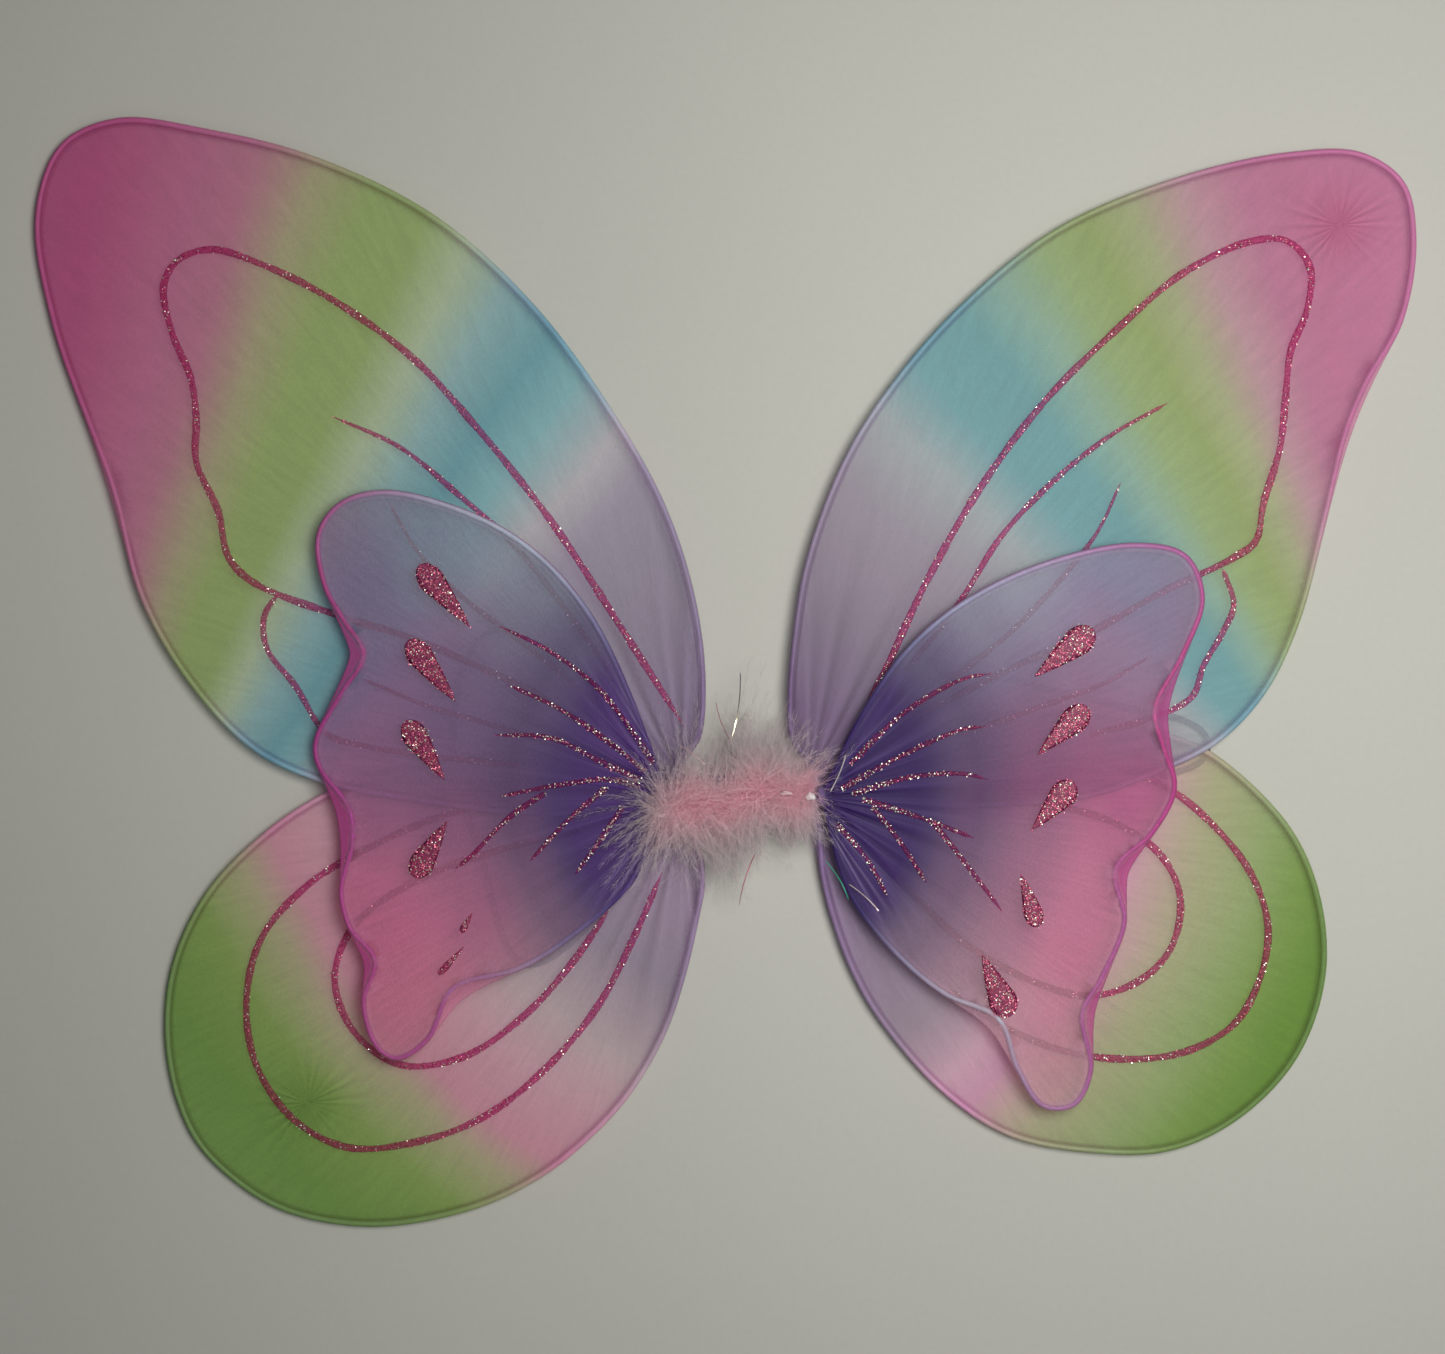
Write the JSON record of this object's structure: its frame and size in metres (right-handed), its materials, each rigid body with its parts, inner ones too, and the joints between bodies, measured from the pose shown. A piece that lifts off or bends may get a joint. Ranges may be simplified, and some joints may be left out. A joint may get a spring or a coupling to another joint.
{
  "type": "fairy wings",
  "caption": "Child's dress-up fairy wings: layered sheer nylon wings on bent wire hoops, joined at a fluffy trimmed hub with elastic arm loops.",
  "frame": {"origin": "centre of the flat taped underside of the hub, which is the side towards the wearer's back", "axes": "+X to the right wing as seen from the decorated side, +Y towards the wearer's head, +Z away from the wearer's back, out of the decorated side"},
  "size_m": [0.5018, 0.4029, 0.02],
  "materials": {
    "rim_upper": "thin wire in dyed nylon, pink to blue",
    "rim_lower": "thin wire in dyed nylon, green to purple",
    "rim_small": "thin wire in dyed nylon, pink to grey-blue",
    "nylon_upper": "sheer knitted nylon, pink, green and blue bands",
    "nylon_lower": "sheer knitted nylon, lilac, pink and green",
    "nylon_small": "sheer knitted nylon, violet to pink",
    "thread": "wound thread",
    "tape": "soft cloth tape",
    "marabou": "fluffy down trim",
    "elastic": "covered elastic cord"
  },
  "bodies": {
    "hub": {"hub_core": "thread", "hub_tape": "tape", "marabou_centre": "marabou", "left_arm_loop": "elastic", "left_arm_loop_tie": "elastic", "right_arm_loop": "elastic", "right_arm_loop_tie": "elastic"},
    "left_lower_wing": {"left_lower_wire_frame": "rim_lower", "left_lower_nylon_skin": "nylon_lower", "left_lower_root_binding": "thread", "left_root_bundle": "tape"},
    "left_upper_wing": {"left_upper_wire_frame": "rim_upper", "left_upper_nylon_skin": "nylon_upper", "left_upper_root_binding": "thread"},
    "left_small_wing": {"left_small_wire_frame": "rim_small", "left_small_nylon_skin": "nylon_small", "left_small_root_binding": "thread", "left_marabou": "marabou"},
    "right_lower_wing": {"right_lower_wire_frame": "rim_lower", "right_lower_nylon_skin": "nylon_lower", "right_lower_root_binding": "thread", "right_root_bundle": "tape"},
    "right_upper_wing": {"right_upper_wire_frame": "rim_upper", "right_upper_nylon_skin": "nylon_upper", "right_upper_root_binding": "thread"},
    "right_small_wing": {"right_small_wire_frame": "rim_small", "right_small_nylon_skin": "nylon_small", "right_small_root_binding": "thread", "right_marabou": "marabou"}
  },
  "joints": [
    {"name": "left_fold", "type": "hinge", "parent": "hub", "child": "left_lower_wing", "pos_m": [-0.008, 0, 0.0062], "axis": [0, 1, 0], "range_deg": [0, 60]},
    {"name": "left_upper_lift", "type": "hinge", "parent": "left_lower_wing", "child": "left_upper_wing", "pos_m": [-0.02, 0, 0.0082], "axis": [0, 1, 0], "range_deg": [0, 15]},
    {"name": "left_small_lift", "type": "hinge", "parent": "left_upper_wing", "child": "left_small_wing", "pos_m": [-0.02, 0, 0.0118], "axis": [0, 1, 0], "range_deg": [0, 12]},
    {"name": "right_fold", "type": "hinge", "parent": "hub", "child": "right_lower_wing", "pos_m": [0.008, 0, 0.0062], "axis": [0, -1, 0], "range_deg": [0, 60]},
    {"name": "right_upper_lift", "type": "hinge", "parent": "right_lower_wing", "child": "right_upper_wing", "pos_m": [0.02, 0, 0.0082], "axis": [0, -1, 0], "range_deg": [0, 15]},
    {"name": "right_small_lift", "type": "hinge", "parent": "right_upper_wing", "child": "right_small_wing", "pos_m": [0.02, 0, 0.0118], "axis": [0, -1, 0], "range_deg": [0, 12]}
  ]
}
